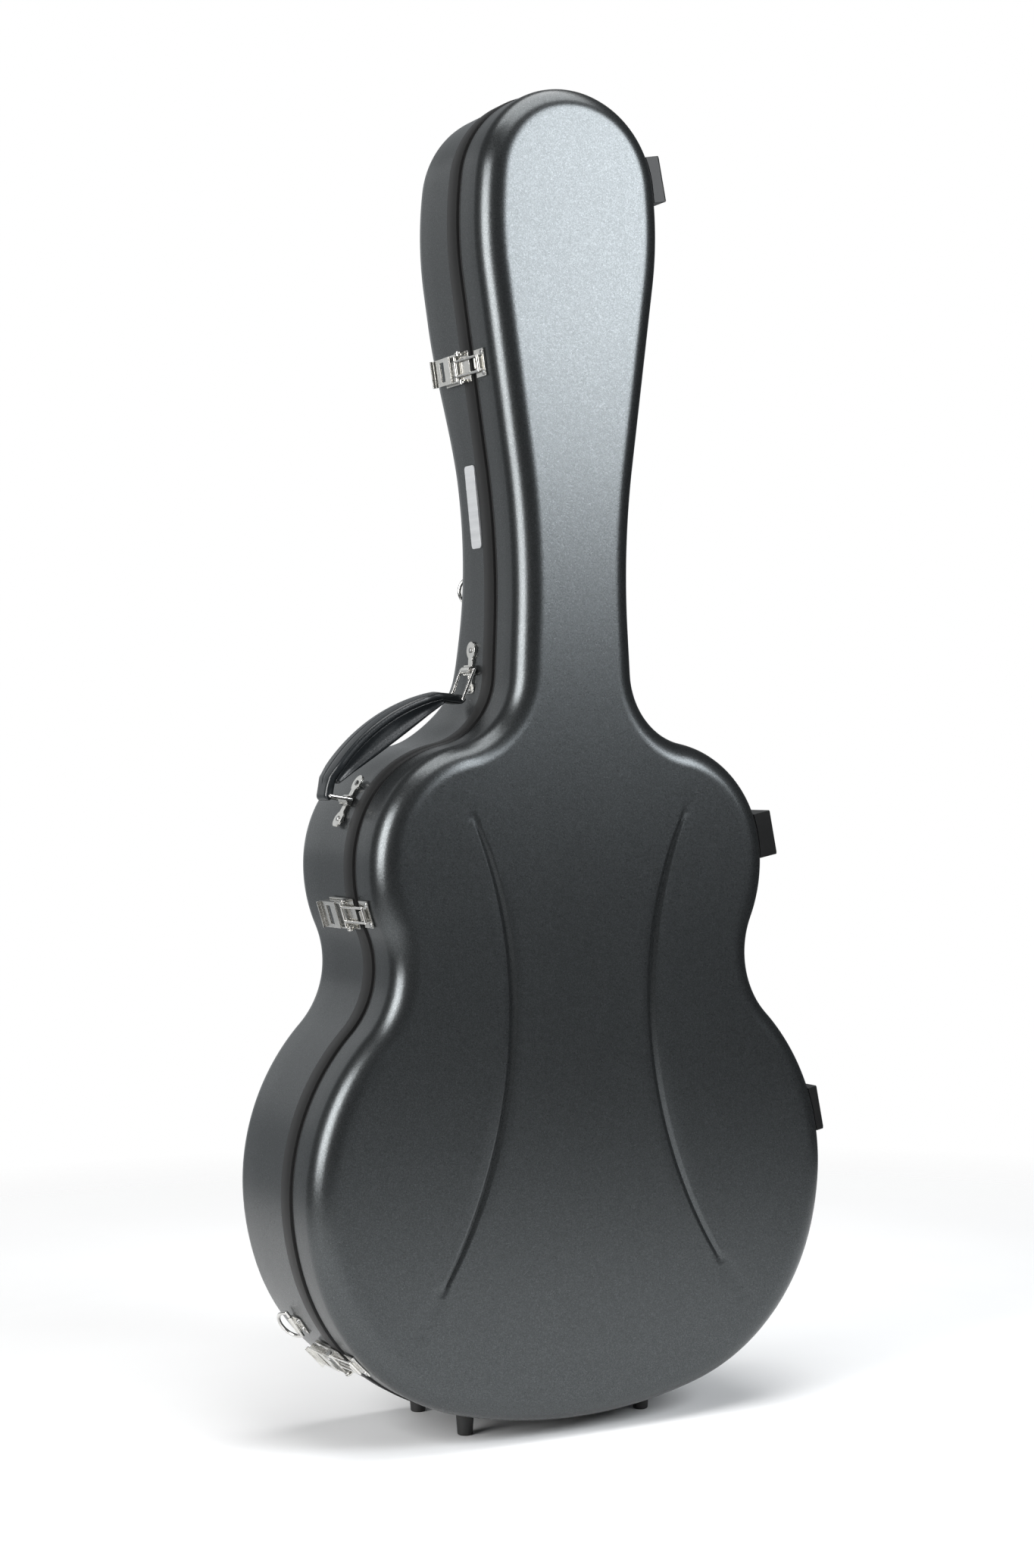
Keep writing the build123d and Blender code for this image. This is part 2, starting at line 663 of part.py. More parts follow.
def ring_plate(where):
    """Riveted clip, rolled round the ring's bar."""
    bar = RING_CLIP_LENGTH
    plate = block((0.4, 0, -8), (RING_PLATE_TOP, bar, 8))
    plate += block((0.4, bar - 3.0, -8), (RING_BAR, bar, 8))
    plate += rod((RING_BAR, bar, -8), (RING_BAR, bar, 8), 2.8)
    plate -= rod((RING_BAR, bar, -9), (RING_BAR, bar, 9), RING_WIRE + RUNNING)
    for across in (-RING_RIVET_SPREAD, RING_RIVET_SPREAD):
        plate -= rivet_bore(6.0, across)
    return ring_wall(where) * plate


def strap_ring(where):
    """D-shaped wire ring, its straight bar in the clip, standing a little off the wall."""
    half = RING_HALF_WIDTH
    straight = rod((0, 0, -half), (0, 0, half), RING_WIRE)
    arc = ThreePointArc((0, 5.0, half), (0, 5.0 + half, 0), (0, 5.0, -half))
    bow = sweep(Plane(origin=arc @ 0, z_dir=arc % 0) * Circle(RING_WIRE), path=arc)
    ring = straight + bow
    for side in (-1, 1):
        ring += rod((0, 0, side * half), (0, 5.0, side * half), RING_WIRE)
        ring += Pos(0, 0, side * half) * Sphere(RING_WIRE)
        ring += Pos(0, 5.0, side * half) * Sphere(RING_WIRE)
    return ring_wall(where) * (Pos(RING_BAR, RING_CLIP_LENGTH, 0) * Rot(0, 0, -RING_TILT) * ring)


# ---- feet and nameplate --------------------------------------------------------------

def foot(x, y):
    """Tapered rubber foot, its top shaped to the shell or the rim."""
    place = Pos(x, SEAM_Y + y, 0)
    cone = place * Cone(FOOT_RADIUS - 1.5, FOOT_RADIUS + 1.0, 34.0, align=(Align.CENTER, Align.CENTER, Align.MIN))
    trimmed = cone - slab(RIM_PROUD + 0.05 if y < RIM_DEPTH else 0.05, -60, BODY_DEPTH + 10)
    body = trimmed.solids().sort_by(Axis.Z)[0]
    body = fillet(body.edges().sort_by(Axis.Z)[0], 1.5)
    recess = place * Cylinder(3.6, 5.0, align=(Align.CENTER, Align.CENTER, Align.MIN))
    hole = place * Cylinder(1.7, 60.0, align=(Align.CENTER, Align.CENTER, Align.MIN))
    return body - recess - hole


def foot_places():
    return [(x, SEAM_Y + y) for x in (-FOOT_X, FOOT_X) for y in FOOT_Y.values()]


def foot_bores():
    """Screw holes through the rim and the shell above the feet."""
    return Part() + [
        rod((x, y, 5), (x, y, 40), FOOT_SCREW_RADIUS + RUNNING) for x, y in foot_places()
    ]


def foot_screws():
    """Pan-head screws, their heads recessed in the feet."""
    return [
        rod((x, y, 3.0), (x, y, 4.9), 3.2) + rod((x, y, 4.8), (x, y, 25.2), FOOT_SCREW_RADIUS)
        for x, y in foot_places()
    ]


def nameplate():
    """Slim blank plate on the neck's latch side, with rounded corners."""
    plate = block((0.0, 23.5, -36.0), (2.0, 41.0, 36.0))
    plate = fillet(plate.edges().filter_by(Axis.X), 3.0)
    return station(NAMEPLATE_HEIGHT, -1) * plate - slab(0.1, 0, BODY_DEPTH)


# ---- inside --------------------------------------------------------------------------

def base_lining():
    """Plush-covered foam in the base, in three blocks, with the guitar's space sunk into it."""
    inset = WALL + LINING_GAP
    foam = base_form(inset) & slab(-RIM_LIP - LINING_GAP, EDGE_GAP, BODY_DEPTH)
    split = FOOT_LIFT + CAVITY_TOP
    body_space = slab(-CAVITY_MARGIN, -5, CAVITY_DEPTH) & block((-300, -100, 0), (300, 200, split))
    neck_space = slab(-NECK_MARGIN, -5, NECK_CAVITY_DEPTH)
    box_pocket = block(
        (-BOX_HALF_WIDTH - CLEAR, SEAM_Y - 5, FOOT_LIFT + BOX_LOW - CLEAR),
        (BOX_HALF_WIDTH + CLEAR, SEAM_Y + BOX_BACK + CLEAR, FOOT_LIFT + BOX_HIGH + CLEAR),
    )
    foam = foam - body_space - neck_space - box_pocket
    heights = [-100.0, *LINING_JOINTS, 1300.0]
    return [
        foam & block((-300, -100, FOOT_LIFT + low), (300, 200, FOOT_LIFT + high))
        for low, high in zip(heights, heights[1:])
    ]


def lid_lining():
    """Padded lining that fills the lid's hollow behind its front."""
    inset = WALL + LINING_GAP
    return lid_form(inset) & slab(-RIM_LIP - LINING_GAP, -LID_DEPTH, -LID_DEPTH + WALL + LID_PAD_DEPTH)


def neck_cradle():
    """Foam block across the neck channel with a rounded notch that carries the neck."""
    low = FOOT_LIFT + 700.0
    high = low + 60.0
    half = wall_point(700.0, -NECK_MARGIN)[0] - 0.3
    cradle = block((-half, SEAM_Y + 26, low), (half, SEAM_Y + NECK_CAVITY_DEPTH - CLEAR, high))
    notch = rod((0, SEAM_Y + 22, low - 1), (0, SEAM_Y + 22, high + 1), 21.0)
    return cradle - notch


def accessory_box():
    """Open tray for strings and picks, sunk into the foam below the neck."""
    low = (-BOX_HALF_WIDTH, SEAM_Y + BOX_FRONT, FOOT_LIFT + BOX_LOW)
    high = (BOX_HALF_WIDTH, SEAM_Y + BOX_BACK, FOOT_LIFT + BOX_HIGH)
    tray = block(low, high)
    inner_low = (low[0] + BOX_WALL, low[1] - 1, low[2] + BOX_WALL)
    inner_high = (high[0] - BOX_WALL, high[1] - BOX_WALL, high[2] - BOX_WALL)
    return tray - block(inner_low, inner_high)


def box_hinge_line():
    """Two ends of the tray lid's hinge, along the tray's lower front edge."""
    y = SEAM_Y + BOX_FRONT - 3.6
    z = FOOT_LIFT + BOX_LOW + 2.2
    return (-BOX_HALF_WIDTH + 1, y, z), (BOX_HALF_WIDTH - 1, y, z)


def accessory_lid():
    """Flat lid of the tray, hinged along its lower edge."""
    start, end = box_hinge_line()
    y = SEAM_Y + BOX_FRONT
    plate = block(
        (-BOX_HALF_WIDTH + 1, y - 5.6, start[2]), (BOX_HALF_WIDTH - 1, y - 1.6, FOOT_LIFT + BOX_HIGH - 0.5)
    )
    plate += rod(start, end, 2.0)
    plate -= block((-16, y - 9, start[2] - 3), (16, y, start[2] + 2.6))
    return plate - rod((start[0] - 1, start[1], start[2]), (end[0] + 1, end[1], end[2]), 1.0 + RUNNING)


def accessory_hinge():
    """Hinge pin of the tray lid with the two posts that hold it to the tray."""
    start, end = box_hinge_line()
    pin = rod(start, end, 1.0)
    for x in (-13.0, 13.0):
        post = rod((x - 2.5, start[1], start[2]), (x + 2.5, start[1], start[2]), 1.9)
        post += block((x - 2.5, start[1], start[2] - 1.9), (x + 2.5, SEAM_Y + BOX_FRONT, start[2] + 1.9))
        pin += post
    return pin


def accessory_pull():
    """Short webbing tab sewn to the tray lid's free edge."""
    y = SEAM_Y + BOX_FRONT - 5.6
    top = FOOT_LIFT + BOX_HIGH - 0.5
    tab = block((-7, y - 1.6, top - 16), (7, y, top - 1))
    return tab + block((-7, y - 7.0, top - 4.0), (7, y - 1.5, top - 1.0))


# ---- assembly ------------------------------------------------------------------------

def assembly():
    """Every node's solid or list of solids, by name."""
    nodes = {
        "base_shell": base_shell(),
        "lid_shell": lid_shell(),
        "base_rim": base_rim(),
        "lid_rim": lid_rim(),
        "rim_seal": rim_seal(),
        "hinge_screws_base": hinge_screws(1),
        "hinge_screws_lid": hinge_screws(-1),
        "handle_grip": handle_grip(),
        "handle_pad": handle_pad(),
        "wall_rivets_base": rivets(base_rivet_places()),
        "wall_rivets_lid": rivets(lid_rivet_places()),
        "foot_screws": foot_screws(),
        "nameplate": nameplate(),
        "lid_lining": lid_lining(),
        "neck_cradle": neck_cradle(),
        "accessory_box": accessory_box(),
        "accessory_lid": accessory_lid(),
        "accessory_hinge": accessory_hinge(),
        "accessory_pull": accessory_pull(),
    }
    for name, foam in zip(("body", "neck", "head"), base_lining()):
        nodes[f"base_lining_{name}"] = foam
    for name, height in HINGE_HEIGHTS.items():
        nodes[f"hinge_base_leaf_{name}"] = hinge_leaf(height, 1)
        nodes[f"hinge_lid_leaf_{name}"] = hinge_leaf(height, -1)
        nodes[f"hinge_pin_{name}"] = hinge_pin(height)
    for name, height in LATCH_HEIGHTS.items():
        place = station(height, -1)
        nodes[f"latch_plate_{name}"] = place * latch_plate()
        nodes[f"latch_lever_{name}"] = place * latch_lever()
        nodes[f"latch_hook_{name}"] = place * latch_hook()
        nodes[f"latch_keeper_{name}"] = place * latch_keeper()
        nodes[f"latch_pivots_{name}"] = [place * pin for pin in latch_pivots()]
    for where in BRACKET_HEIGHTS:
        nodes[f"handle_bracket_{where}"] = handle_bracket(where)
        nodes[f"handle_loop_{where}"] = handle_loop(where)
    for where in RING_HEIGHTS:
        nodes[f"strap_ring_{where}"] = strap_ring(where)
        nodes[f"strap_ring_plate_{where}"] = ring_plate(where)
    for row, y in FOOT_Y.items():
        for side, x in (("left", -FOOT_X), ("right", FOOT_X)):
            nodes[f"foot_{row}_{side}"] = foot(x, y)
    return nodes


def main():
    os.makedirs("parts", exist_ok=True)
    for name, shape in assembly().items():
        if isinstance(shape, list):
            shape = Compound(children=shape)
        export_step(shape, f"parts/{name}.step")


main()
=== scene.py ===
import json
import math

import bmesh
import bpy
import numpy as np
from mathutils import Matrix, Vector


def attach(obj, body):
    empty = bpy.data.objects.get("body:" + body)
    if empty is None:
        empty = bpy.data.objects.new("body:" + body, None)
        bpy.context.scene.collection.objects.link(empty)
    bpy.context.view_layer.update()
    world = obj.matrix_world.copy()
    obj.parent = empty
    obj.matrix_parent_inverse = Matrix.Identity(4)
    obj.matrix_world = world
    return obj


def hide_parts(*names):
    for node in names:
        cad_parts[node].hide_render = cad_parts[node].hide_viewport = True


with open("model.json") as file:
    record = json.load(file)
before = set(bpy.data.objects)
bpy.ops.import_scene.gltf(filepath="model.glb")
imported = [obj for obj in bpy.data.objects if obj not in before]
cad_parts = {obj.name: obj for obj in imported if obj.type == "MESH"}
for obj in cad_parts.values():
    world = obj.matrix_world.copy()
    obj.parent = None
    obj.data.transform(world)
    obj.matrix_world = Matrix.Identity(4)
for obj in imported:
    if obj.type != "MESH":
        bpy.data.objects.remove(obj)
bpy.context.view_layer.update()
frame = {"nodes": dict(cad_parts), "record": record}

# ---- measures of the case, in millimetres, as in the CAD model ------------------------
# x is to the right and y to the back. Heights start at the shells' lowest point, and
# depths at the seam plane between lid and base.
SEAM_Y = -36.0
FOOT_LIFT = 13.0
LID_DEPTH = 48.0
LID_EDGE_RADIUS = 21.0
BODY_DEPTH = 123.0
BACK_LINE = [    # height, depth behind the seam, slope
    (585.0, BODY_DEPTH, 0.0), (620.0, 101.5, -0.6), (660.0, 87.0, -0.2), (812.0, 74.0, 0.0),
    (950.0, 90.0, 0.0),
]
BACK_EDGE_RADIUS = 19.0
WALL = 3.6
EDGE_GAP = 2.0
RIM_PROUD = 1.5
RIM_DEPTH = 20.0
RIM_LIP = 5.0
RIM_METAL = 1.2
RUNNING = 0.05
HALF_OUTLINE = [    # arcs as radius and turn in degrees, straight runs as None and length
    (433.0, 15.6), (182.0, 56.3), (232.0, 14.6), (193.0, 48.0), (-77.0, 68.1),
    (131.0, 26.9), (110.0, 17.9), (101.0, 57.5), (-64.5, 75.8), (None, 38.6),
    (-747.0, 10.9), (None, 160.0), (332.0, 15.4),
]
CREASE_X = 68.0
CREASE_HEIGHT = 362.0
CREASES = {1: (367.0, 174.0), -1: (441.0, 286.0)}    # radius and reach, up and down
CREASE_DEPTH = 2.8
CREASE_HALF = 4.6
CREASE_FADE = 0.8

HANDLE_Y = 42.0
GRIP_CENTRE = (-61.0, 464.5)
GRIP_OUTER_RADIUS = 166.0
SPINE_THICKNESS = 7.0
GRIP_WIDTH = 28.0
PAD_WIDTH = 25.0
GRIP_END_WIDTH = 21.0
GRIP_END_HALF_THICKNESS = 4.0
GRIP_SHOULDER = 2.2                # how much narrower each side is where the spine meets its tabs
GRIP_CORNER = 3.2
GRIP_CROWN = 0.8
PARTING_DEPTH = 0.9
GRIP_ARC = (102.5, 147.0)          # degrees round GRIP_CENTRE
PAD_CHORD = ((-90.5, 617.3), (-191.5, 548.7))
PAD_SAG = -1.5
GRIP_UPPER_EYE = (-73.5, 620.5)
GRIP_LOWER_EYE = (-200.0, 538.5)

STEP = 4.0                         # spacing of points along the outline


# ---- outline --------------------------------------------------------------------------

def half_outline():
    """Right half of the outline, bottom to top: rows of x, z, normal x, normal z."""
    rows = [(0.0, 0.0, 0.0, -1.0)]
    x, z, heading = 0.0, 0.0, 0.0
    for run in HALF_OUTLINE + ["close"]:
        if run == "close":
            turn = math.pi - heading
            radius = x / math.sin(turn)
            turn = math.degrees(turn)
        else:
            radius, turn = run
        if radius is None:
            n = max(2, math.ceil(turn / STEP))
            for k in range(1, n + 1):
                px = x + turn * k / n * math.cos(heading)
                pz = z + turn * k / n * math.sin(heading)
                rows.append((px, pz, math.sin(heading), -math.cos(heading)))
            x, z = rows[-1][:2]
            continue
        side = math.copysign(1.0, radius)
        reach = abs(radius)
        cx = x - side * reach * math.sin(heading)
        cz = z + side * reach * math.cos(heading)
        total = side * math.radians(turn)
        n = max(3, math.ceil(reach * abs(total) / STEP))
        for k in range(1, n + 1):
            h = heading + total * k / n
            rows.append((cx + side * reach * math.sin(h), cz - side * reach * math.cos(h),
                         math.sin(h), -math.cos(h)))
        heading += total
        x, z = rows[-1][:2]
    rows[-1] = (0.0, rows[-1][1], 0.0, 1.0)
    return np.array(rows)


HALF = half_outline()
LOOP = 2 * len(HALF) - 2           # points in a closed ring


def ring(inset, depth):
    """Closed loop of points at an inset from the outline; depth is a number or a rule of height."""
    right = np.column_stack([HALF[:, 0] - inset * HALF[:, 2], HALF[:, 1] - inset * HALF[:, 3]])
    right[0, 0] = right[-1, 0] = 0.0
    left = right[-2:0:-1] * [-1, 1]
    flat = np.vstack([right, left])
    y = np.array([depth(z) for z in flat[:, 1]]) if callable(depth) else np.full(len(flat), depth)
    return np.column_stack([flat[:, 0], SEAM_Y + y, FOOT_LIFT + flat[:, 1]])


def make_mesh(name, points, faces, material, body):
    """Smooth piece that rides a body, from points in millimetres."""
    mesh = bpy.data.meshes.new(name)
    mesh.from_pydata([tuple(p) for p in np.asarray(points, float) / 1000.0], [], faces)
    mesh.validate()
    bm = bmesh.new()
    bm.from_mesh(mesh)
    bmesh.ops.remove_doubles(bm, verts=bm.verts, dist=1e-7)
    bmesh.ops.recalc_face_normals(bm, faces=bm.faces)
    bm.to_mesh(mesh)
    bm.free()
    mesh.polygons.foreach_set("use_smooth", [True] * len(mesh.polygons))
    obj = bpy.data.objects.new(name, mesh)
    bpy.context.scene.collection.objects.link(obj)
    mesh.materials.append(material)
    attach(obj, body)
    return obj


def bridge(first, second, count, faces):
    """Quads between two closed rings that start at these vertex numbers."""
    for k in range(count):
        a, b = first + k, first + (k + 1) % count
        c, d = second + (k + 1) % count, second + k
        faces.append((a, b, c, d))


def smoothstep(t):
    """Eases from 0 to 1 and stays there."""
    t = min(1.0, max(0.0, t))
    return t * t * (3 - 2 * t)


# ---- materials ------------------------------------------------------------------------

def new_material(name):
    """Material with its nodes, links and main shader."""
    m = bpy.data.materials.new(name)
    m.use_nodes = True
    nodes = m.node_tree.nodes
    return m, nodes, m.node_tree.links, nodes["Principled BSDF"]


def noise(nodes, links, coords, scale, detail=4.0, rough=0.55):
    """Noise from 0 to 1; scale is in cells a metre."""
    n = nodes.new("ShaderNodeTexNoise")
    n.inputs["Scale"].default_value = scale
    n.inputs["Detail"].default_value = detail
    n.inputs["Roughness"].default_value = rough
    links.new(coords, n.inputs["Vector"])
    return n.outputs["Fac"]


def ramp(nodes, links, value, stops):
    """Colour that follows a value through (place, colour) stops."""
    r = nodes.new("ShaderNodeValToRGB")
    while len(r.color_ramp.elements) < len(stops):
        r.color_ramp.elements.new(0.5)
    for e, (at, colour) in zip(r.color_ramp.elements, stops):
        e.position = at
        e.color = (*colour, 1.0)
    links.new(value, r.inputs["Fac"])
    return r.outputs["Color"]


def grey(v):
    return (v, v, v)


def scaled(nodes, links, value, low, high):
    """Value from 0 to 1 spread over a new range."""
    m = nodes.new("ShaderNodeMapRange")
    m.inputs["To Min"].default_value = low
    m.inputs["To Max"].default_value = high
    links.new(value, m.inputs["Value"])
    return m.outputs["Result"]


def bump(nodes, links, height, distance, normal=None):
    """Surface relief of a depth in metres, over an earlier normal if there is one."""
    b = nodes.new("ShaderNodeBump")
    b.inputs["Strength"].default_value = 1.0
    b.inputs["Distance"].default_value = distance
    links.new(height, b.inputs["Height"])
    if normal is not None:
        links.new(normal, b.inputs["Normal"])
    return b.outputs["Normal"]


def object_coords(nodes):
    return nodes.new("ShaderNodeTexCoord").outputs["Object"]


def shell_material():
    """Fine-grained satin finish full of metallic flake, a little uneven in gloss."""
    m, nodes, links, bsdf = new_material("shell_anthracite")
    at = object_coords(nodes)
    grain = noise(nodes, links, at, 520.0, 3.0, 0.75)
    flake = noise(nodes, links, at, 1100.0, 2.0, 0.85)
    cloud = noise(nodes, links, at, 9.0, 3.0)
    colour = ramp(nodes, links, flake, [(0.34, (0.052, 0.056, 0.057)), (0.52, (0.070, 0.075, 0.077)),
                                        (0.70, (0.106, 0.113, 0.117))])
    links.new(colour, bsdf.inputs["Base Color"])
    rough = nodes.new("ShaderNodeMath")
    rough.operation = "ADD"
    links.new(scaled(nodes, links, grain, -0.06, 0.06), rough.inputs[0])
    links.new(scaled(nodes, links, cloud, 0.27, 0.305), rough.inputs[1])
    links.new(rough.outputs[0], bsdf.inputs["Roughness"])
    bsdf.inputs["Metallic"].default_value = 0.86
    bsdf.inputs["Specular IOR Level"].default_value = 0.5
    links.new(bump(nodes, links, grain, 0.00006), bsdf.inputs["Normal"])
    return m


def plain_material(name, dark, light, rough, metallic=0.0, grain=600.0, depth=0.00006,
                   cloud=12.0, bevel=0.0, spec=0.5, rough_spread=0.08, stretch=None):
    """Solid material with fine grain, slow colour drift, uneven gloss and softened edges."""
    m, nodes, links, bsdf = new_material(name)
    at = object_coords(nodes)
    if stretch is not None:
        mapping = nodes.new("ShaderNodeMapping")
        mapping.inputs["Scale"].default_value = stretch
        links.new(at, mapping.inputs["Vector"])
        at = mapping.outputs["Vector"]
    fine = noise(nodes, links, at, grain, 3.0, 0.6)
    slow = noise(nodes, links, at, cloud, 4.0)
    mixed = nodes.new("ShaderNodeMath")
    mixed.operation = "MULTIPLY_ADD"
    links.new(slow, mixed.inputs[0])
    mixed.inputs[1].default_value = 0.6
    links.new(scaled(nodes, links, fine, 0.0, 0.4), mixed.inputs[2])
    links.new(ramp(nodes, links, mixed.outputs[0], [(0.3, dark), (0.7, light)]), bsdf.inputs["Base Color"])
    gloss = scaled(nodes, links, slow, rough - rough_spread, rough + rough_spread)
    links.new(gloss, bsdf.inputs["Roughness"])
    bsdf.inputs["Metallic"].default_value = metallic
    bsdf.inputs["Specular IOR Level"].default_value = spec
    normal = None
    if bevel:
        b = nodes.new("ShaderNodeBevel")
        b.samples = 6
        b.inputs["Radius"].default_value = bevel
        normal = b.outputs["Normal"]
    links.new(bump(nodes, links, fine, depth, normal), bsdf.inputs["Normal"])
    return m


def plush_material(name, dark, light):
    """Short pile: a fine uneven nap with soft brushed patches and sheen."""
    m, nodes, links, bsdf = new_material(name)
    at = object_coords(nodes)
    pile = noise(nodes, links, at, 1100.0, 2.0, 0.7)
    tuft = noise(nodes, links, at, 160.0, 4.0, 0.65)
    brushed = noise(nodes, links, at, 14.0, 3.0, 0.6)
    total = nodes.new("ShaderNodeMath")
    total.operation = "MULTIPLY_ADD"
    links.new(brushed, total.inputs[0])
    total.inputs[1].default_value = 0.55
    links.new(scaled(nodes, links, tuft, 0.0, 0.45), total.inputs[2])
    links.new(ramp(nodes, links, total.outputs[0], [(0.3, dark), (0.72, light)]), bsdf.inputs["Base Color"])
    bsdf.inputs["Roughness"].default_value = 0.95
    bsdf.inputs["Specular IOR Level"].default_value = 0.15
    bsdf.inputs["Sheen Weight"].default_value = 0.7
    bsdf.inputs["Sheen Roughness"].default_value = 0.45
    first = bump(nodes, links, tuft, 0.0007)
    links.new(bump(nodes, links, pile, 0.0004, first), bsdf.inputs["Normal"])
    return m


SHELL = shell_material()
RIM = plain_material("rim_satin", grey(0.008), grey(0.015), 0.48, 0.0, 500.0, 0.00004, spec=0.22)
SEAL = plain_material("seal_rubber", grey(0.008), grey(0.014), 0.7)
HINGE = plain_material("hinge_gloss", grey(0.005), grey(0.010), 0.36, 0.0, 300.0, 0.00003,
                       bevel=0.0006, spec=0.2, rough_spread=0.06)
NICKEL = plain_material("nickel_plate", (0.56, 0.55, 0.52), (0.76, 0.75, 0.72), 0.2, 1.0, 400.0,
                        0.00003, cloud=60.0, bevel=0.0004)
WIRE = plain_material("nickel_wire", (0.58, 0.57, 0.55), (0.80, 0.79, 0.77), 0.18, 1.0, 500.0,
                      0.00002, cloud=80.0)
STEEL = plain_material("plated_steel", (0.30, 0.30, 0.30), (0.50, 0.50, 0.49), 0.3, 1.0, 300.0,
                       0.00003, cloud=90.0, bevel=0.0003)
GRIP = plain_material("grip_satin", (0.006, 0.008, 0.009), (0.012, 0.014, 0.016), 0.29, 0.0, 520.0,
                      0.00008)
RUBBER = plain_material("foot_rubber", grey(0.012), grey(0.024), 0.62, bevel=0.0005)
SILVER = plain_material("plate_silver", (0.56, 0.57, 0.58), (0.72, 0.73, 0.74), 0.42, 0.6, 900.0,
                        0.00002, cloud=40.0, bevel=0.0003, stretch=(1.0, 0.15, 6.0))
PLUSH = plush_material("plush_lining", (0.020, 0.022, 0.030), (0.050, 0.055, 0.070))
TRAY = plush_material("plush_tray", (0.018, 0.020, 0.027), (0.040, 0.044, 0.058))
WEBBING = plain_material("webbing", grey(0.012), grey(0.030), 0.8, 0.0, 260.0,
                         0.0003, stretch=(1.0, 1.0, 4.0))


# ---- shells ---------------------------------------------------------------------------

def crease_at(z):
    """Crease's distance from the centre line, its slope and its depth at a height."""
    up = 1 if z > CREASE_HEIGHT else -1
    radius, reach = CREASES[up]
    dz = abs(z - CREASE_HEIGHT)
    held = min(dz, reach)
    x = CREASE_X + radius - math.sqrt(radius**2 - held**2)
    slope = held / math.sqrt(radius**2 - held**2)
    most = radius - math.sqrt(radius**2 - reach**2)
    fade = max(0.0, 1 - (x - CREASE_X) / most) ** CREASE_FADE
    depth = CREASE_DEPTH * fade if dz < reach else 0.0
    return x + (dz - held) * slope, slope, depth


def crease_profile(across, depth):
    """Depth of the pressed groove at a distance from its line."""
    half = CREASE_HALF * math.sqrt(max(depth, 0.0) / CREASE_DEPTH) + 1e-6
    t = abs(across) / half
    if t >= 1 or depth <= 0:
        return 0.0
    return depth * (1 - t) ** 1.3 * (1 + 0.3 * t)


GROOVE_SHARES = (-1, -0.8, -0.6, -0.4, -0.2, -0.08, 0, 0.08, 0.2, 0.4, 0.6, 0.8, 1)
INNER_COLUMNS, OUTER_COLUMNS, PLAIN_COLUMNS = 9, 12, 16


def row_columns(z, edge, with_crease):
    """Places across one half of a level row, from the centre line to the edge loop."""
    if not with_crease:
        return [edge * k / PLAIN_COLUMNS for k in range(PLAIN_COLUMNS + 1)]
    line, slope, _ = crease_at(z)
    line = min(line, 0.62 * edge)
    half = min(CREASE_HALF * math.sqrt(1 + slope**2), 0.2 * edge)
    start, end = line - half, line + half
    inner = [start * k / INNER_COLUMNS for k in range(INNER_COLUMNS)]
    groove = [line + half * t for t in GROOVE_SHARES]
    outer = [end + (edge - end) * k / OUTER_COLUMNS for k in range(1, OUTER_COLUMNS + 1)]
    return inner + groove + outer


def panel(points, faces, loop_start, inset, depth_at, with_crease):
    """Fills the loop at an inset with level rows of quads. depth_at(x, z) gives y."""
    n = len(HALF)
    previous = None
    for i in range(1, n - 1):
        edge = HALF[i, 0] - inset * HALF[i, 2]
        z = HALF[i, 1] - inset * HALF[i, 3]
        columns = row_columns(z, edge, with_crease)
        current = [loop_start + LOOP - i]
        for x in [-c for c in columns[-2:0:-1]] + columns[:-1]:
            points.append((x, SEAM_Y + depth_at(x, z), FOOT_LIFT + z))
            current.append(len(points) - 1)
        current.append(loop_start + i)
        if previous is None:
            for a, b in zip(current, current[1:]):
                faces.append((loop_start, a, b))
        else:
            for (a, b), (c, d) in zip(zip(previous, previous[1:]), zip(current, current[1:])):
                faces.append((a, b, d, c))
        previous = current
    for a, b in zip(previous, previous[1:]):
        faces.append((a, b, loop_start + n - 1))


def shell_mesh(name, outside, inside, material, body):
    """Closed shell; each side has (inset, depth) rings, a depth rule and whether it is creased."""
    points, faces, starts = [], [], []
    for rings, depth_at, with_crease in (outside, inside):
        loops = []
        for inset, depth in rings:
            loops.append(len(points))
            points.extend(ring(inset, depth))
        for a, b in zip(loops, loops[1:]):
            bridge(a, b, LOOP, faces)
        panel(points, faces, loops[-1], rings[-1][0], depth_at, with_crease)
        starts.append(loops[0])
    bridge(starts[0], starts[1], LOOP, faces)
    return make_mesh(name, points, faces, material, body)


def lid_front(skin):
    """Depth rule of the lid's front: flat, with the pressed creases."""
    def depth_at(x, z):
        line, slope, depth = crease_at(z)
        across = (abs(x) - line) / math.sqrt(1 + slope**2)
        return -(LID_DEPTH - skin) + crease_profile(across, depth)
    return depth_at


SIDES = ((0.0, 12), (WALL, 6))    # skin and steps round the edge, outside and inside


def lid_rings(skin, steps):
    """Rings from the lid's mouth along the wall and round its front edge."""
    wall_end = LID_DEPTH - LID_EDGE_RADIUS
    r = LID_EDGE_RADIUS - skin
    rings = [(skin, -(EDGE_GAP + (wall_end - EDGE_GAP) * t)) for t in (0.0, 0.04, 0.5, 1.0)]
    for k in range(1, steps + 1):
        a = math.pi / 2 * k / steps
        rings.append((LID_EDGE_RADIUS - r * math.cos(a), -(wall_end + r * math.sin(a))))
    return rings


def build_lid():
    outside, inside = [(lid_rings(skin, steps), lid_front(skin), True) for skin, steps in SIDES]
    return shell_mesh("lid_shell_skin", outside, inside, SHELL, "lid")


def back_depth(z):
    """Depth of the back behind the seam at a height: a smooth line through BACK_LINE."""
    if z <= BACK_LINE[0][0]:
        return BACK_LINE[0][1]
    for (low, first, slope), (high, last, end_slope) in zip(BACK_LINE, BACK_LINE[1:]):
        if z <= high:
            run = high - low
            t = (z - low) / run
            return (first * (1 + 2 * t) * (1 - t)**2 + last * t * t * (3 - 2 * t)
                    + run * t * (1 - t) * (slope * (1 - t) - end_slope * t))
    return BACK_LINE[-1][1]


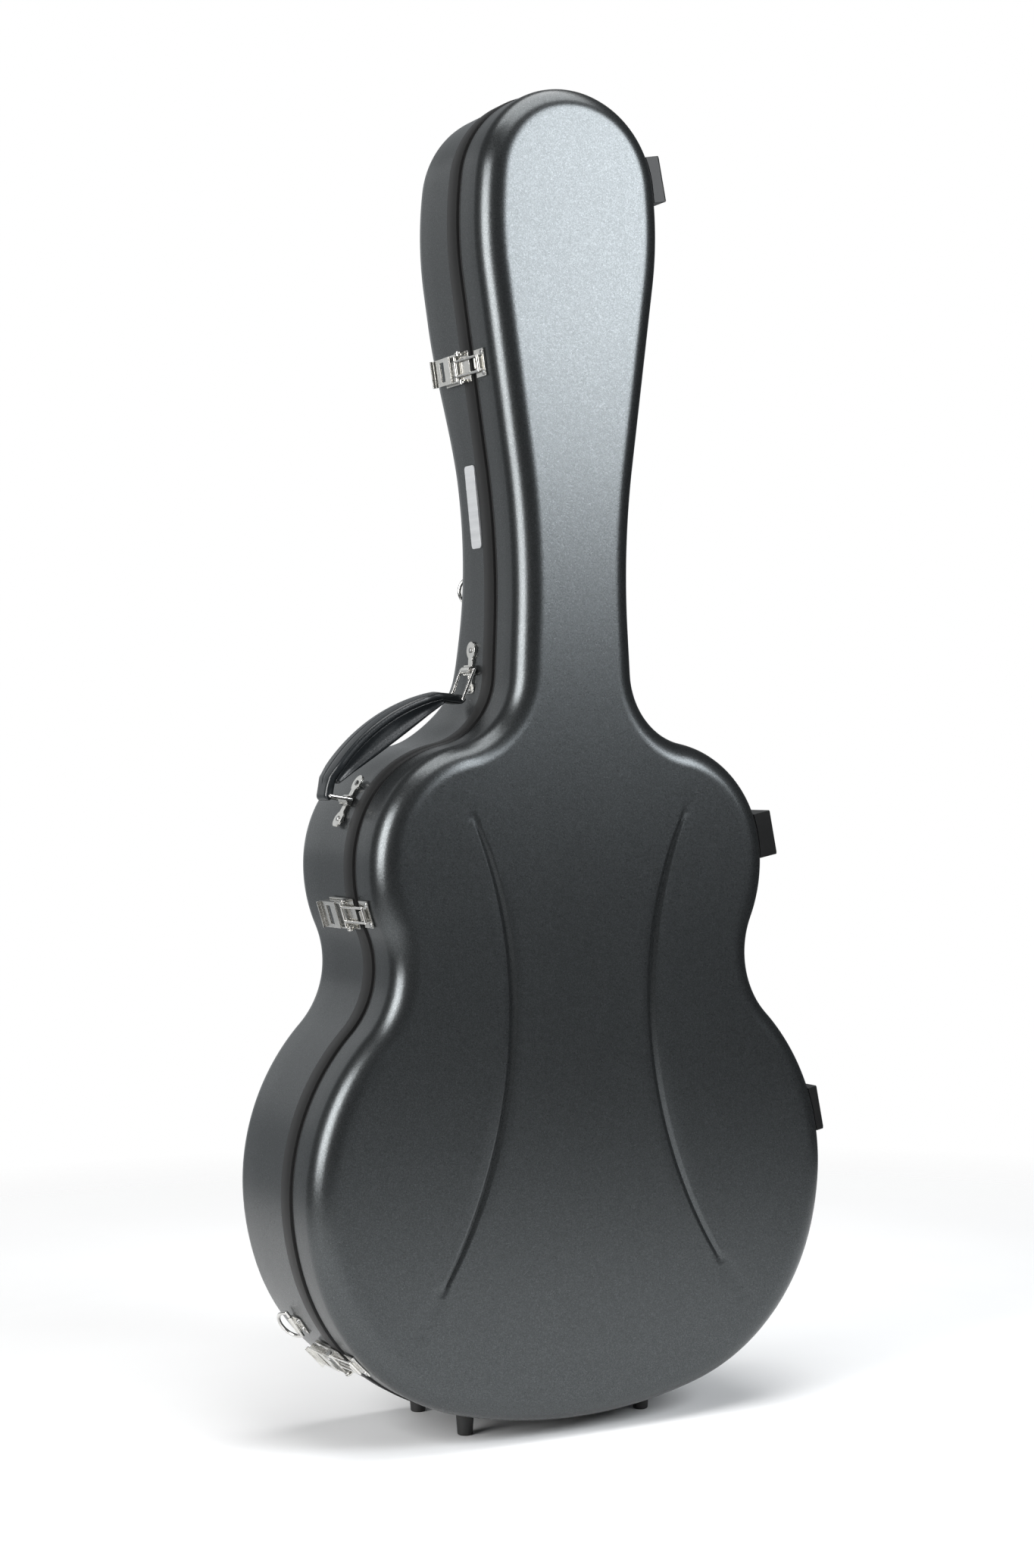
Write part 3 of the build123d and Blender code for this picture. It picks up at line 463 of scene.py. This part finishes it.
def base_rings(skin, steps):
    """Rings from the base's mouth along the wall and round its back edge."""
    start = EDGE_GAP + RIM_METAL + RUNNING
    r = BACK_EDGE_RADIUS - skin
    rings = [(skin, start)]
    for t in (0.04, 0.35, 0.7, 1.0):
        rings.append((skin, lambda z, t=t: start + (back_depth(z) - BACK_EDGE_RADIUS - start) * t))
    for k in range(1, steps + 1):
        a = math.pi / 2 * k / steps
        rise = r * math.sin(a) - BACK_EDGE_RADIUS
        rings.append((BACK_EDGE_RADIUS - r * math.cos(a), lambda z, rise=rise: back_depth(z) + rise))
    return rings


def base_back(skin):
    """Depth rule of the base's back."""
    def depth_at(x, z):
        return back_depth(z) - skin
    return depth_at


def build_base():
    outside, inside = [(base_rings(skin, steps), base_back(skin), False) for skin, steps in SIDES]
    return shell_mesh("base_shell_skin", outside, inside, SHELL, "base")


def sweep_profile(name, profile, material, body):
    """Closed profile of (inset, depth) points carried round the whole outline."""
    points, faces, loops = [], [], []
    for inset, depth in profile:
        loops.append(len(points))
        points.extend(ring(inset, depth))
    for a, b in zip(loops, loops[1:] + loops[:1]):
        bridge(a, b, LOOP, faces)
    obj = make_mesh(name, points, faces, material, body)
    sharpen(obj, 40)
    return obj


def sharpen(obj, degrees):
    """Marks edges sharper than an angle, so that smooth shading stops at them."""
    bm = bmesh.new()
    bm.from_mesh(obj.data)
    for e in bm.edges:
        if len(e.link_faces) == 2 and e.calc_face_angle() > math.radians(degrees):
            e.smooth = False
    bm.to_mesh(obj.data)
    bm.free()


lid = build_lid()
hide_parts("lid_shell")
base = build_base()
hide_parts("base_shell")

RIM_EASE = 0.5
EASE_MIDDLE = 0.3 * RIM_EASE
SHELL_INSIDE = WALL + RUNNING
rim = sweep_profile("base_rim_band", [
    (-RIM_PROUD + RIM_EASE, EDGE_GAP), (-RIM_PROUD + EASE_MIDDLE, EDGE_GAP + EASE_MIDDLE),
    (-RIM_PROUD, EDGE_GAP + RIM_EASE), (-RIM_PROUD, RIM_DEPTH - RIM_EASE),
    (-RIM_PROUD + EASE_MIDDLE, RIM_DEPTH - EASE_MIDDLE), (-RIM_PROUD + RIM_EASE, RIM_DEPTH),
    (-RUNNING, RIM_DEPTH), (-RUNNING, EDGE_GAP + RIM_METAL), (SHELL_INSIDE, EDGE_GAP + RIM_METAL),
    (SHELL_INSIDE, RIM_DEPTH), (RIM_LIP, RIM_DEPTH), (RIM_LIP, EDGE_GAP),
], RIM, "base")
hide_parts("base_rim")
lid_rim = sweep_profile("lid_rim_band", [
    (SHELL_INSIDE, -EDGE_GAP), (RIM_LIP, -EDGE_GAP), (RIM_LIP, -RIM_DEPTH), (SHELL_INSIDE, -RIM_DEPTH),
], RIM, "lid")
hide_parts("lid_rim")
seal = sweep_profile("rim_seal_bead", [
    (1.2, EDGE_GAP), (1.2, 0.4), (1.5, -0.8), (2.2, -1.5), (3.2, -1.7), (4.2, -1.5), (4.9, -0.8),
    (5.2, 0.4), (5.2, EDGE_GAP),
], SEAL, "base")
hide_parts("rim_seal")


# ---- handle grip ----------------------------------------------------------------------

ARC_STEPS = 44
TAB_STEPS = 10
PARTING = ((0.15, 0), (0.3, 0), (0.45, 0), (0.475, 0.1), (0.5, PARTING_DEPTH), (0.525, 0.1),
           (0.55, 0), (0.7, 0), (0.85, 0))    # share of the width and depth of the parting line


def tab_path(start, eye):
    """Stations from the end of the spine's arc to an eye, narrowing to the tab."""
    (sx, sz), wide, thick = start
    stations = []
    for k in range(1, TAB_STEPS + 1):
        t = k / TAB_STEPS
        p = (sx + (eye[0] - sx) * t, sz + (eye[1] - sz) * t)
        s = smoothstep(1.7 * t)
        end_wide = wide + (GRIP_END_WIDTH / 2 - wide) * s
        end_thick = thick + (GRIP_END_HALF_THICKNESS - thick) * s
        stations.append((p, end_wide, end_thick))
    return stations


def grip_path():
    """Middle line of the spine in its side view, with half width and half thickness, eye to eye."""
    middle = GRIP_OUTER_RADIUS - SPINE_THICKNESS / 2
    high, low = GRIP_ARC
    arc = []
    for k in range(ARC_STEPS + 1):
        d = math.radians(high + (low - high) * k / ARC_STEPS)
        p = (GRIP_CENTRE[0] + middle * math.cos(d), GRIP_CENTRE[1] + middle * math.sin(d))
        ends = min(k, ARC_STEPS - k) / 5.0
        wide = GRIP_WIDTH / 2 - GRIP_SHOULDER * (1 - smoothstep(ends))
        arc.append((p, wide, SPINE_THICKNESS / 2))
    upper = tab_path(arc[0], GRIP_UPPER_EYE)
    return upper[::-1] + arc + tab_path(arc[-1], GRIP_LOWER_EYE)


def grip_section(wide, thick, groove):
    """Rounded section: across the case's depth, and outward, with a parting line on the crown."""
    corner = min(GRIP_CORNER, thick * 0.8)
    rounded = []
    for across, outward, start in ((1, 1, 0), (-1, 1, 90), (-1, -1, 180), (1, -1, 270)):
        for k in range(7):
            a = math.radians(start + 90 * k / 6)
            rounded.append((across * (wide - corner) + corner * math.cos(a),
                            outward * (thick - corner) + corner * math.sin(a)))
    section = []
    for (y, out), (next_y, _) in zip(rounded, rounded[1:] + rounded[:1]):
        section.append((y, out))
        if abs(y - next_y) < wide / 2:
            continue
        if out > 0:
            for t, dip in PARTING:
                crown = GRIP_CROWN * math.sin(math.pi * t)
                section.append((y + (next_y - y) * t, out + (crown - dip) * groove))
        else:
            section += [(y + (next_y - y) * t, out) for t in (0.1, 0.3, 0.5, 0.7, 0.9)]
    return section


def unit(x, z):
    size = math.hypot(x, z)
    return x / size, z / size


def build_grip():
    """Spine of the grip, from tab to tab, with a domed cap at each end."""
    path = grip_path()
    points, faces, loops = [], [], []
    for k, ((x, z), wide, thick) in enumerate(path):
        before = path[max(k - 1, 0)][0]
        after = path[min(k + 1, len(path) - 1)][0]
        tx, tz = unit(after[0] - before[0], after[1] - before[1])
        ox, oz = tz, -tx
        if ox * (x - GRIP_CENTRE[0]) + oz * (z - GRIP_CENTRE[1]) < 0:
            ox, oz = -ox, -oz
        groove = smoothstep((wide - GRIP_END_WIDTH / 2) / 2.0)
        loops.append(len(points))
        for y, o in grip_section(wide, thick, groove):
            points.append((x + ox * o, SEAM_Y + HANDLE_Y + y, FOOT_LIFT + z + oz * o))
    count = loops[1]
    for a, b in zip(loops, loops[1:]):
        bridge(a, b, count, faces)
    for loop, end, inner in ((loops[0], path[0][0], path[1][0]), (loops[-1], path[-1][0], path[-2][0])):
        x, z = end[0], FOOT_LIFT + end[1]
        tx, tz = unit(end[0] - inner[0], end[1] - inner[1])
        previous = loop
        section = points[loop:loop + count]
        for a in (30, 60, 80):
            shrink = math.cos(math.radians(a))
            beyond = GRIP_END_HALF_THICKNESS * math.sin(math.radians(a))
            start = len(points)
            for px, py, pz in section:
                points.append((x + (px - x) * shrink + tx * beyond, py,
                               z + (pz - z) * shrink + tz * beyond))
            bridge(previous, start, count, faces)
            previous = start
        faces.append(tuple(range(previous, previous + count)))
    return make_mesh("handle_spine_skin", points, faces, GRIP, "handle_grip")


PAD_STEPS = 48
PAD_OVERLAP = 0.3                  # how far the pad reaches into the spine
PAD_SIDE = (    # share of the way down, distance in from the side
    (0.0, 0.0), (0.08, 0.5), (0.2, 1.3), (0.35, 2.0), (0.5, 2.3), (0.64, 2.1), (0.76, 1.6), (0.85, 1.4),
    (0.91, 1.8), (0.95, 2.4), (0.985, 3.4), (1.0, 4.6),
)


def pad_section():
    """Pad's section: places across it, and shares of the way from the spine to the underside."""
    half = PAD_WIDTH / 2
    section = [(-half + inward, share) for share, inward in PAD_SIDE]
    section += [(y * (half - 5.0) / 3, 1.0) for y in (-2, -1, 0, 1, 2)]
    section += [(half - inward, share) for share, inward in PAD_SIDE[::-1]]
    section += [(half * y / 4, 0.0) for y in (3, 2, 1, 0, -1, -2, -3)]
    return section


def build_pad():
    """Palm pad under the spine: scooped sides, eased lower corners, nearly straight underside."""
    (ux, uz), (wx, wz) = PAD_CHORD
    along_x, along_z = unit(wx - ux, wz - uz)
    top = GRIP_OUTER_RADIUS - SPINE_THICKNESS + PAD_OVERLAP
    half = PAD_WIDTH / 2
    section = pad_section()
    points, faces, loops = [], [], []
    for k in range(PAD_STEPS + 1):
        t = k / PAD_STEPS
        bulge = PAD_SAG * 4 * t * (1 - t)
        reach_x = ux + (wx - ux) * t + along_z * bulge - GRIP_CENTRE[0]
        reach_z = uz + (wz - uz) * t - along_x * bulge - GRIP_CENTRE[1]
        radius = math.hypot(reach_x, reach_z)
        away_x, away_z = unit(reach_x, reach_z)
        scoop = smoothstep(min(t, 1 - t) * 6)
        loops.append(len(points))
        for y, share in section:
            r = top + (radius - top) * share
            y = math.copysign(half - (half - abs(y)) * (0.25 + 0.75 * scoop), y)
            points.append((GRIP_CENTRE[0] + away_x * r, SEAM_Y + HANDLE_Y + y,
                           FOOT_LIFT + GRIP_CENTRE[1] + away_z * r))
    count = len(section)
    for a, b in zip(loops, loops[1:]):
        bridge(a, b, count, faces)
    faces.append(tuple(range(count)))
    faces.append(tuple(range(loops[-1], loops[-1] + count)))
    return make_mesh("handle_pad_skin", points, faces, GRIP, "handle_grip")


grip = build_grip()
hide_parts("handle_grip")
pad = build_pad()
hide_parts("handle_pad")


# ---- linings --------------------------------------------------------------------------

EASING_PASSES = 6


def soft_copy(node, name, voxel, body):
    """Plush-covered version of a CAD foam solid: remeshed, with its edges eased."""
    source = frame["nodes"][node]
    obj = bpy.data.objects.new(name, source.data.copy())
    bpy.context.scene.collection.objects.link(obj)
    obj.data.materials.clear()
    obj.data.materials.append(PLUSH)
    weld = obj.modifiers.new("weld", "WELD")
    weld.merge_threshold = 1e-5
    remesh = obj.modifiers.new("remesh", "REMESH")
    remesh.mode = "VOXEL"
    remesh.voxel_size = voxel
    remesh.use_smooth_shade = True
    ease = obj.modifiers.new("ease", "SMOOTH")
    ease.factor = 0.5
    ease.iterations = EASING_PASSES
    made = bpy.data.meshes.new_from_object(obj.evaluated_get(bpy.context.evaluated_depsgraph_get()))
    obj.modifiers.clear()
    obj.data = made
    made.polygons.foreach_set("use_smooth", [True] * len(made.polygons))
    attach(obj, body)
    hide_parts(node)
    return obj


for part in ("body", "neck", "head"):
    foam = soft_copy(f"base_lining_{part}", f"base_lining_{part}_plush", 0.004, "base")
lid_plush = soft_copy("lid_lining", "lid_lining_plush", 0.005, "lid")
cradle = soft_copy("neck_cradle", "neck_cradle_plush", 0.002, "base")


# ---- materials of the carried-over CAD nodes ------------------------------------------

LOOKS = {
    "hinge": HINGE, "plating": NICKEL, "wire": WIRE, "steel": STEEL, "foot": RUBBER, "nameplate": SILVER,
    "tray": TRAY, "webbing": WEBBING, "rim": RIM, "seal": SEAL, "shell": SHELL, "plush": PLUSH,
    "grip": GRIP,
}
slots = {s["node"]: s["material_slot"] for s in frame["record"]["subparts"]}
for node, obj in frame["nodes"].items():
    if not obj.hide_render:
        obj.data.materials.clear()
        obj.data.materials.append(LOOKS[slots[node]])


# ---- stage ----------------------------------------------------------------------------

SKY_BLUE_WHITE = (0.93, 0.97, 1.0)
FLOOR_HALF = 3.0


def area_light(name, at, target, size, power, colour=(1.0, 1.0, 1.0)):
    """Rectangular softbox aimed at a point, in metres and watts."""
    data = bpy.data.lights.new(name, "AREA")
    data.shape = "RECTANGLE"
    data.size, data.size_y = size
    data.energy = power
    data.color = colour
    obj = bpy.data.objects.new(name, data)
    obj.location = at
    obj.rotation_euler = (Vector(target) - Vector(at)).to_track_quat("-Z", "Y").to_euler()
    bpy.context.scene.collection.objects.link(obj)


def floor_material():
    """Pale studio floor that fades into the background."""
    m, nodes, links, bsdf = new_material("pale_floor")
    at = object_coords(nodes)
    soft_noise = noise(nodes, links, at, 3.0, 2.0)
    colour = ramp(nodes, links, soft_noise, [(0.3, grey(0.90)), (0.7, grey(0.93))])
    links.new(colour, bsdf.inputs["Base Color"])
    bsdf.inputs["Roughness"].default_value = 0.85
    bsdf.inputs["Specular IOR Level"].default_value = 0.1
    gradient = nodes.new("ShaderNodeTexGradient")
    gradient.gradient_type = "SPHERICAL"
    mapping = nodes.new("ShaderNodeMapping")
    mapping.inputs["Scale"].default_value = (0.5, 0.5, 0.5)
    links.new(at, mapping.inputs["Vector"])
    links.new(mapping.outputs["Vector"], gradient.inputs["Vector"])
    fade = ramp(nodes, links, gradient.outputs["Fac"], [(0.2, grey(0.0)), (0.65, grey(1.0))])
    clear = nodes.new("ShaderNodeBsdfTransparent")
    mix = nodes.new("ShaderNodeMixShader")
    out = nodes["Material Output"]
    links.new(fade, mix.inputs["Fac"])
    links.new(clear.outputs[0], mix.inputs[1])
    links.new(bsdf.outputs[0], mix.inputs[2])
    links.new(mix.outputs[0], out.inputs["Surface"])
    return m


floor_mesh = bpy.data.meshes.new("floor")
corners = [(x * FLOOR_HALF, y * FLOOR_HALF, 0.0) for x, y in ((-1, -1), (1, -1), (1, 1), (-1, 1))]
floor_mesh.from_pydata(corners, [], [(0, 1, 2, 3)])
floor = bpy.data.objects.new("floor", floor_mesh)
floor_mesh.materials.append(floor_material())
bpy.context.scene.collection.objects.link(floor)

# Dim studio that brightens behind the case, seen by the camera as plain white.
world = bpy.data.worlds.new("studio")
bpy.context.scene.world = world
world.use_nodes = True
wn, wl = world.node_tree.nodes, world.node_tree.links
sky = wn["Background"]
sky.inputs["Color"].default_value = (*SKY_BLUE_WHITE, 1.0)
direction = wn.new("ShaderNodeSeparateXYZ")
wl.new(wn.new("ShaderNodeTexCoord").outputs["Generated"], direction.inputs[0])
behind = scaled(wn, wl, direction.outputs["Y"], 0.5, 1.0)
glow = ramp(wn, wl, behind, [(0.7, grey(0.03)), (0.82, grey(0.08)), (0.93, grey(0.42)), (1.0, grey(0.60))])
wl.new(glow, sky.inputs["Strength"])
seen = wn.new("ShaderNodeBackground")
seen.inputs["Color"].default_value = (1.0, 1.0, 1.0, 1.0)
seen.inputs["Strength"].default_value = 1.0
path = wn.new("ShaderNodeLightPath")
pick = wn.new("ShaderNodeMixShader")
wl.new(path.outputs["Is Camera Ray"], pick.inputs["Fac"])
wl.new(sky.outputs[0], pick.inputs[1])
wl.new(seen.outputs[0], pick.inputs[2])
wl.new(pick.outputs[0], wn["World Output"].inputs["Surface"])

area_light("head_softbox", (1.30, -2.05, 1.71), (0.0, 0.0, 1.0), (1.2, 1.35), 66, (0.94, 0.97, 1.0))
area_light("top_softbox", (0.1, -0.3, 3.0), (0.0, 0.0, 0.3), (2.2, 2.2), 70)
area_light("left_softbox", (-2.3, -0.62, 1.2), (0.0, 0.0, 0.8), (1.3, 1.7), 82)
area_light("back_softbox", (-0.9, 2.6, 1.5), (0.0, 0.0, 0.6), (1.6, 1.8), 3)

CAMERA_PLACE = (-1.0723, -1.9590, 0.5778)
CAMERA_TURN = (-28.3, 0.48, -0.56)    # yaw, pitch and roll in degrees
camera_data = bpy.data.cameras.new("camera")
camera_data.sensor_fit = "VERTICAL"
camera_data.sensor_height = 36.0
camera_data.lens = 57.96
camera_data.clip_end = 50.0
camera = bpy.data.objects.new("camera", camera_data)
yaw, pitch, roll = [math.radians(a) for a in CAMERA_TURN]
back = Vector((math.sin(yaw) * math.cos(pitch), -math.cos(yaw) * math.cos(pitch), math.sin(pitch)))
right = (-back).cross(Vector((0, 0, 1))).normalized()
up = right.cross(-back)
right_rolled = right * math.cos(roll) + up * math.sin(roll)
up_rolled = -right * math.sin(roll) + up * math.cos(roll)
turn = Matrix((right_rolled, up_rolled, back)).transposed().to_4x4()
camera.matrix_world = Matrix.Translation(CAMERA_PLACE) @ turn
bpy.context.scene.collection.objects.link(camera)
bpy.context.scene.camera = camera
bpy.context.scene.view_settings.view_transform = "Standard"
